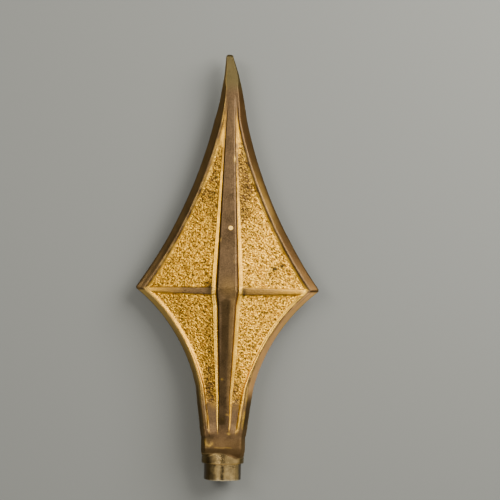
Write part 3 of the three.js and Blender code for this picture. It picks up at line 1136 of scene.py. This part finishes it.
@dataclass
class SocketTube:
    """The short tube let into the collar, in millimetres about the casting's own centre."""

    radius: float = 8.8
    bore: float = 7.0
    top: float = -68.0
    end: float = -88.8
    joint: float = -81.0
    lip: float = 0.45
    inner_lip_share: float = 0.6
    lip_steps: int = 5
    row_pitch: float = 0.3
    turns: int = 160
    ripples: tuple[Pair, ...] = ((4.0, 0.05), (1.1, 0.02))
    bead: float = 0.1
    inset: float = 0.07
    end_band: float = 1.4
    end_dents: float = 0.14
    grain: Grain = field(default_factory=lambda: Grain(31))

    def profile(self) -> list[Pair]:
        """Return the tube's profile: down the outside, round the lip and up the bore.

        Returns:
            Pairs of radius and level.
        """
        outside = [(self.radius, self.top), (self.radius, self.joint + 0.6)]
        outside += [(self.radius, y) for y in np.arange(self.joint + 0.2, self.end + self.lip, -self.row_pitch)]
        quarter = np.linspace(0.0, math.pi / 2, self.lip_steps)
        inner = self.lip * self.inner_lip_share
        lip = [(self.radius - self.lip * (1 - math.cos(a)), self.end + self.lip * (1 - math.sin(a))) for a in quarter]
        lip += [(self.bore + inner * (1 - math.sin(a)), self.end + inner * (1 - math.cos(a))) for a in quarter]
        return outside + lip + [(self.bore, y) for y in np.linspace(self.end + 1.5, self.top, 8)]

    def build(self, centre: Vector, bow: float) -> bpy.types.Object:
        """Build the tube in the row frame.

        Args:
            centre: the casting's own centre in the row frame, in metres.
            bow: how far the tube stands to the right, in millimetres.

        Returns:
            The finished object.
        """
        profile = np.array(self.profile())
        rings = len(profile)
        radius, y = np.repeat(profile, self.turns, axis=0).T
        angle = np.tile(np.linspace(0.0, 2.0 * math.pi, self.turns, endpoint=False), rings)
        arc, level_ring = angle * self.radius, np.zeros_like(angle)
        ripple = sum(height * self.grain.smooth(arc, y, pitch) for pitch, height in self.ripples)
        bead = self.bead * hump(y, self.joint - 0.35, 0.35) * self.grain.smooth(arc, y, 1.3)
        seen = (radius > self.radius - self.lip - 0.1) & (y < self.joint + 0.1)
        radius = radius + (ripple + bead - self.inset) * seen
        worn_and_lit = fade(y, self.end + self.end_band, self.end)
        dents = self.end_dents * self.grain.smooth(arc, level_ring, 5.0) * worn_and_lit
        y = y + np.abs(dents) * (y < self.end + 0.6)
        x, z = radius * np.cos(angle), radius * np.sin(angle)
        wear_and_glint = np.clip(worn_and_lit * np.where(y < self.end + 0.5, 1.0, 0.35) + 0.15, 0.0, 1.0)
        pits = Patch(4.6, self.joint - 0.9, 1.7, 0.75).share(x, y) * fade(z, 0.0, 3.0)
        # The sides are painted dark where they reflect the floor, and the end is worn bright with a painted
        # highlight.
        masks = {
            "wear_and_glint": wear_and_glint * fade(x, -6.5, -4.5) * fade(x, 8.3, 7.1),
            "side_shade": np.maximum(fade(x, -4.6, -6.6), fade(x, 7.0, 8.0)) * (y > self.end + 0.25),
            "pit": pits * eased(0.5 + 2.0 * self.grain.smooth(arc, y, 0.5)),
            "dark": hump(y, self.joint, 0.22) * eased(0.6 + 1.2 * self.grain.smooth(arc, level_ring, 2.0)),
        }
        faces = []
        for start in range(0, rings * self.turns, self.turns):
            onward = (start + self.turns) % (rings * self.turns)
            for k in range(self.turns):
                following = (k + 1) % self.turns
                faces.append((start + k, start + following, onward + following, onward + k))
        return mesh_object("tube_skin", Surface(x + bow, y, z, masks), centre, faces)


class Graph:
    """Adds and joins the nodes of one shader tree."""

    def __init__(self, tree: bpy.types.NodeTree) -> None:
        """Take the tree to work in."""
        self.tree = tree

    def add(self, kind: str, **settings: object) -> bpy.types.Node:
        """Add a node.

        Args:
            kind: Blender's name for the node.
            settings: properties to set on it.

        Returns:
            The node.
        """
        node = self.tree.nodes.new(kind)
        for name, value in settings.items():
            setattr(node, name, value)
        return node

    def feed(self, socket: Socket, value: object) -> None:
        """Feed an input.

        Args:
            socket: the input.
            value: another node's output, a colour or a plain value.
        """
        if isinstance(value, Socket):
            self.tree.links.new(value, socket)
        else:
            socket.default_value = (*value, 1.0) if isinstance(value, tuple) else value

    def feed_all(self, node: bpy.types.Node, **values: object) -> None:
        """Feed the inputs of a node by their names, with _ for a space."""
        for name, value in values.items():
            self.feed(node.inputs[name.replace("_", " ")], value)

    def mask(self, name: str) -> Socket:
        """Return a mask kept on the mesh."""
        return self.add("ShaderNodeAttribute", attribute_name=name).outputs["Fac"]

    def math(self, operation: str, first: object, second: object, held: bool = False) -> Socket:
        """Add a sum of two values.

        Args:
            operation: Blender's name for the sum.
            first: first value.
            second: second value.
            held: whether the result is held to 0..1.

        Returns:
            The result.
        """
        node = self.add("ShaderNodeMath", operation=operation, use_clamp=held)
        self.feed(node.inputs[0], first)
        self.feed(node.inputs[1], second)
        return node.outputs[0]

    def times(self, first: object, second: object, held: bool = False) -> Socket:
        """Return the product of two values."""
        return self.math("MULTIPLY", first, second, held)

    def ramp(
        self, value: object, low: float, high: float, start: float = 0.0, end: float = 1.0
    ) -> Socket:
        """Map a value smoothly.

        Args:
            value: the value.
            low: value that gives the start.
            high: value that gives the end.
            start: result at the low value.
            end: result at the high value.

        Returns:
            The result.
        """
        node = self.add("ShaderNodeMapRange", interpolation_type="SMOOTHSTEP")
        for socket, item in zip(node.inputs, (value, low, high, start, end)):
            self.feed(socket, item)
        return node.outputs[0]

    def blend(self, share: object, first: object, second: object) -> Socket:
        """Mix two colours.

        Args:
            share: how far to go from the first to the second.
            first: first colour.
            second: second colour.

        Returns:
            The colour.
        """
        node = self.add("ShaderNodeMix", data_type="RGBA")
        self.feed(node.inputs[0], share)
        self.feed(node.inputs[6], first)
        self.feed(node.inputs[7], second)
        return node.outputs[2]

    def noise(self, place: object, scale: object, detail: float, roughness: float) -> Socket:
        """Add smooth noise.

        Args:
            place: coordinates.
            scale: lumps for each metre.
            detail: number of finer layers.
            roughness: strength of the finer layers.

        Returns:
            The noise, about 0 to 1.
        """
        node = self.add("ShaderNodeTexNoise")
        self.feed_all(node, Vector=place, Scale=scale, Detail=detail, Roughness=roughness)
        return node.outputs["Fac"]


MARKS = ("Mottle", "Speckle", "Grain")


def marks_group() -> bpy.types.NodeTree:
    """Make the small marks that both brasses share: mottle, speckle and fine grain.

    Returns:
        Their node group, the same on each call.
    """
    group = bpy.data.node_groups.get("brass marks")
    if group:
        return group
    group = bpy.data.node_groups.new("brass marks", "ShaderNodeTree")
    group.interface.new_socket("Mottle Size", in_out="INPUT", socket_type="NodeSocketFloat")
    for name in MARKS:
        group.interface.new_socket(name, in_out="OUTPUT", socket_type="NodeSocketFloat")
    graph = Graph(group)
    place = graph.add("ShaderNodeTexCoord").outputs["Object"]
    scale = graph.math("DIVIDE", 1.0, graph.add("NodeGroupInput").outputs["Mottle Size"])
    graph.feed_all(
        graph.add("NodeGroupOutput"),
        Mottle=graph.ramp(graph.noise(place, scale, 4.0, 0.6), 0.3, 0.7),
        Speckle=graph.ramp(graph.noise(place, 1300.0, 1.0, 0.5), 0.38, 0.62),
        Grain=graph.noise(place, 2100.0, 2.0, 0.6),
    )
    return group


class BrassGraph(Graph):
    """The shader tree of a new brass material, with the shared small marks."""

    def __init__(self, name: str, mottle_size: float) -> None:
        """Make the material.

        Args:
            name: the material's name.
            mottle_size: size of the mottle, in metres.
        """
        self.material = bpy.data.materials.new(name)
        self.material.use_nodes = True
        super().__init__(self.material.node_tree)
        marks = self.add("ShaderNodeGroup", node_tree=marks_group())
        marks.inputs["Mottle Size"].default_value = mottle_size
        self.mottle, self.speckle, self.grain = (marks.outputs[mark] for mark in MARKS)

    def finished(
        self, colour: object, roughness: object, height: object, strength: float, distance: float
    ) -> bpy.types.Material:
        """Join the finish to the metal shader.

        Args:
            colour: the metal's colour.
            roughness: its roughness.
            height: height of the fine grain.
            strength: strength of the grain's bump.
            distance: the bump's depth, in metres.

        Returns:
            The material.
        """
        bump = self.add("ShaderNodeBump")
        self.feed_all(bump, Strength=strength, Distance=distance, Height=height)
        shader = self.tree.nodes["Principled BSDF"]
        self.feed_all(shader, Base_Color=colour, Roughness=roughness, Metallic=1.0, Normal=bump.outputs[0])
        return self.material


@dataclass(frozen=True)
class CastBrass:
    """Aged cast brass: brown patina on the smooth faces, golden in the sunk panels, with highlights, shade and a dark
    reflection painted on.
    """

    brown: Colour = (0.062, 0.0378, 0.0172)
    brown_light: Colour = (0.124, 0.0745, 0.035)
    # The red, shade, pale and olive tints each set a bevel's brightness for the light that falls on it: painted light
    # and shade, each with its own hue.
    tints: tuple[tuple[str, Colour], ...] = (
        ("red", (0.080, 0.042, 0.014)),
        ("pale", (1.0, 0.55, 0.215)),
        ("olive", (0.58, 0.385, 0.115)),
        ("green", (0.095, 0.070, 0.027)),
        ("shade", (0.165, 0.098, 0.036)),
        ("rubbed_and_sheen", (0.42, 0.24, 0.055)),
    )
    gold: Colour = (1.0, 0.53, 0.032)
    gold_deep: Colour = (0.38, 0.165, 0.011)
    tarnish: Colour = (0.10, 0.051, 0.016)
    pit: Colour = (0.065, 0.038, 0.009)
    bright: Colour = (1.0, 0.58, 0.075)
    turned: Colour = (0.42, 0.28, 0.105)
    turned_light: Colour = (0.85, 0.57, 0.22)
    stain_and_shade: Colour = (0.046, 0.028, 0.010)
    dot: Colour = (1.0, 0.60, 0.12)
    edge_tint: Colour = (1.0, 0.90, 0.70)
    mottle_size: float = 0.006
    roughness: Pair = (0.36, 0.46)
    grain_strength: float = 1.0
    grain_depth: float = 0.0003
    dot_edge: Pair = (1.15, 1.0)
    dot_middle: Pair = (0.5, 0.35)

    def build(self) -> bpy.types.Material:
        """Build the material.

        Returns:
            The material.
        """
        graph = BrassGraph("cast_brass_patina_and_painted_light", self.mottle_size)
        mottle, speckle = graph.mottle, graph.speckle
        names = ("recess", "pit", "wear_and_glint", "stipple", "polish", "dot_near")
        recess, pit, wear_and_glint, stipple, polish, near = (graph.mask(name) for name in names)
        smooth = graph.blend(
            graph.math("ADD", graph.times(mottle, 0.6), graph.times(speckle, 0.4)), self.brown, self.brown_light
        )
        for name, tint in self.tints:
            smooth = graph.blend(graph.mask(name), smooth, tint)
        plain = graph.math("SUBTRACT", 1.0, stipple)
        depth = graph.math("ADD", graph.times(speckle, stipple), graph.times(plain, 0.45))
        golden = graph.blend(depth, self.gold, self.gold_deep)
        tarnish = graph.times(graph.mask("tarnish"), graph.ramp(speckle, 0.1, 0.8, 0.72, 1.1), held=True)
        golden = graph.blend(tarnish, golden, self.tarnish)
        worn_and_lit = graph.times(wear_and_glint, graph.ramp(speckle, 0.0, 0.9, 1.0, 0.6), held=True)
        colour = graph.blend(recess, smooth, golden)
        # Painted shade and a painted dark reflection are laid on in the stain colour, along with real stains; the
        # bright layer also paints highlights.
        for share, layer in (
            (polish, graph.blend(mottle, self.turned, self.turned_light)),
            (graph.times(pit, 0.97), self.pit),
            (worn_and_lit, self.bright),
            (graph.mask("dark"), self.stain_and_shade),
            (graph.mask("stain_and_shade"), self.stain_and_shade),
            (graph.ramp(near, *self.dot_edge), self.dot),
            (graph.times(graph.ramp(near, *self.dot_middle), 0.35), self.brown),
        ):
            colour = graph.blend(share, colour, layer)
        rough = graph.ramp(mottle, 0.0, 1.0, *self.roughness)
        for share, change in ((pit, 0.1), (recess, -0.04), (worn_and_lit, -0.08), (polish, -0.2)):
            rough = graph.math("ADD", rough, graph.times(share, change))
        height = graph.times(graph.grain, graph.ramp(stipple, 0.0, 1.0, 0.25, 1.0))
        material = graph.finished(colour, rough, height, self.grain_strength, self.grain_depth)
        graph.feed_all(graph.tree.nodes["Principled BSDF"], Specular_Tint=self.edge_tint)
        return material


@dataclass(frozen=True)
class TubeBrass:
    """Turned brass, dull at the joint, worn bright at its end with a painted highlight, and painted dark on its
    sides.
    """

    dull: Colour = (0.35, 0.22, 0.07)
    gold: Colour = (0.64, 0.42, 0.14)
    bright: Colour = (1.0, 0.82, 0.47)
    dark: Colour = (0.035, 0.022, 0.008)
    mottle_size: float = 0.003
    roughness: Pair = (0.16, 0.26)
    grain_strength: float = 0.25
    grain_depth: float = 0.0001

    def build(self) -> bpy.types.Material:
        """Build the material.

        Returns:
            The material.
        """
        graph = BrassGraph("tube_brass_worn_and_shaded", self.mottle_size)
        colour = graph.blend(graph.mottle, self.dull, self.gold)
        for share, layer in (
            (graph.times(graph.mask("side_shade"), 0.9), self.dark),
            (graph.times(graph.mask("wear_and_glint"), graph.ramp(graph.speckle, 0.0, 1.0, 1.0, 0.7)), self.bright),
            (graph.mask("pit"), self.dark),
            (graph.mask("dark"), self.dark),
        ):
            colour = graph.blend(share, colour, layer)
        rough = graph.ramp(graph.mottle, 0.0, 1.0, *self.roughness)
        return graph.finished(colour, rough, graph.grain, self.grain_strength, self.grain_depth)


def placed(name: str, data: bpy.types.ID) -> bpy.types.Object:
    """Add a new object to the scene.

    Args:
        name: the object's name.
        data: its mesh, lamp or camera.

    Returns:
        The object.
    """
    obj = bpy.data.objects.new(name, data)
    bpy.context.scene.collection.objects.link(obj)
    return obj


@dataclass(frozen=True)
class SoftBox:
    """A soft studio lamp that looks at the finial."""

    name: str
    place: tuple[float, float, float]
    width: float
    height: float
    watts: float
    tint: Colour

    def build(self) -> None:
        """Add the lamp."""
        lamp = bpy.data.lights.new(self.name, "AREA")
        lamp.shape = "RECTANGLE"
        lamp.size, lamp.size_y = self.width, self.height
        lamp.energy, lamp.color = self.watts, self.tint
        obj = placed(self.name, lamp)
        obj.location = self.place
        obj.rotation_euler = (-obj.location).to_track_quat("-Z", "Y").to_euler()


@dataclass
class Studio:
    """The plain pale floor, the soft light and the camera, in metres and degrees."""

    floor_grey: Colour = (0.164, 0.166, 0.149)
    floor_roughness: float = 0.75
    floor_half: float = 2.0
    lamps: tuple[SoftBox, ...] = (
        SoftBox("window", (0.36, 0.28, 0.41), 0.38, 0.46, 7.6, (1.0, 0.99, 0.96)),
        SoftBox("wall", (-0.50, 0.30, 0.95), 0.3, 0.7, 6.6, (1.0, 0.98, 0.95)),
    )
    room_tint: Colour = (1.0, 0.99, 0.97)
    room_side: float = 0.60
    room_top: float = 0.03
    top_rim: Pair = (0.962, 0.989)
    left_side: float = 0.2
    left_rim: Pair = (-0.85, -0.45)
    camera_height: float = 1.0108
    camera_x: float = 0.01026
    camera_y: float = 0.00825
    camera_roll: float = 1.15
    sensor: float = 36.0
    frame_width: float = 0.2355
    frame_level: float = 0.0108

    def build(self) -> None:
        """Add all of it."""
        self.floor()
        self.room()
        for lamp in self.lamps:
            lamp.build()
        self.camera()

    def floor(self) -> None:
        """Add the floor."""
        half = self.floor_half
        mesh = bpy.data.meshes.new("floor")
        mesh.from_pydata([(-half, -half, 0), (half, -half, 0), (half, half, 0), (-half, half, 0)], [], [(0, 1, 2, 3)])
        material = bpy.data.materials.new("floor_grey")
        material.use_nodes = True
        graph = Graph(material.node_tree)
        shader = graph.tree.nodes["Principled BSDF"]
        graph.feed_all(shader, Base_Color=self.floor_grey, Roughness=self.floor_roughness)
        mesh.materials.append(material)
        placed("floor", mesh)

    def room(self) -> None:
        """Add the room's even light: dim straight above and on the left, brighter to the other sides."""
        world = bpy.data.worlds.new("room")
        world.use_nodes = True
        bpy.context.scene.world = world
        graph = Graph(world.node_tree)
        split = graph.add("ShaderNodeSeparateXYZ")
        graph.feed(split.inputs[0], graph.add("ShaderNodeTexCoord").outputs["Generated"])
        above = graph.ramp(split.outputs["Z"], *self.top_rim, self.room_side, self.room_top)
        aside = graph.ramp(split.outputs["X"], *self.left_rim, self.left_side, 1.0)
        graph.feed_all(world.node_tree.nodes["Background"], Color=self.room_tint, Strength=graph.times(above, aside))

    def camera(self) -> None:
        """Add the camera, straight above the finial."""
        camera = bpy.data.cameras.new("camera")
        camera.sensor_width = self.sensor
        camera.lens = self.sensor * (self.camera_height - self.frame_level) / self.frame_width
        obj = placed("camera", camera)
        obj.location = (self.camera_x, self.camera_y, self.camera_height)
        obj.rotation_euler = (0.0, 0.0, math.radians(self.camera_roll))
        bpy.context.scene.camera = obj


@dataclass
class Finial:
    """The whole finial: the casting and the tube let into it."""

    casting: SpearCasting = field(default_factory=SpearCasting)
    tube: SocketTube = field(default_factory=SocketTube)

    def build(self) -> None:
        """Build both pieces where the model has them and dress them."""
        low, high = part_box("spear_casting")
        centre = Vector((0.0, high.y - self.casting.outline.point_level * MM, (low.z + high.z) / 2))
        skin = self.casting.build(centre)
        skin.data.materials.append(CastBrass().build())
        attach(skin, "root")
        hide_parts("spear_casting")
        bow = float(self.casting.bow(np.array([self.casting.collar_end]))[0])
        tube = self.tube.build(centre, bow)
        tube.data.materials.append(TubeBrass().build())
        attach(tube, "root")
        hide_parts("socket_tube")


def main() -> None:
    """Build the finial, its light and its camera."""
    logging.basicConfig(level=logging.INFO)
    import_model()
    Finial().build()
    Studio().build()


if __name__ == "__main__":
    main()
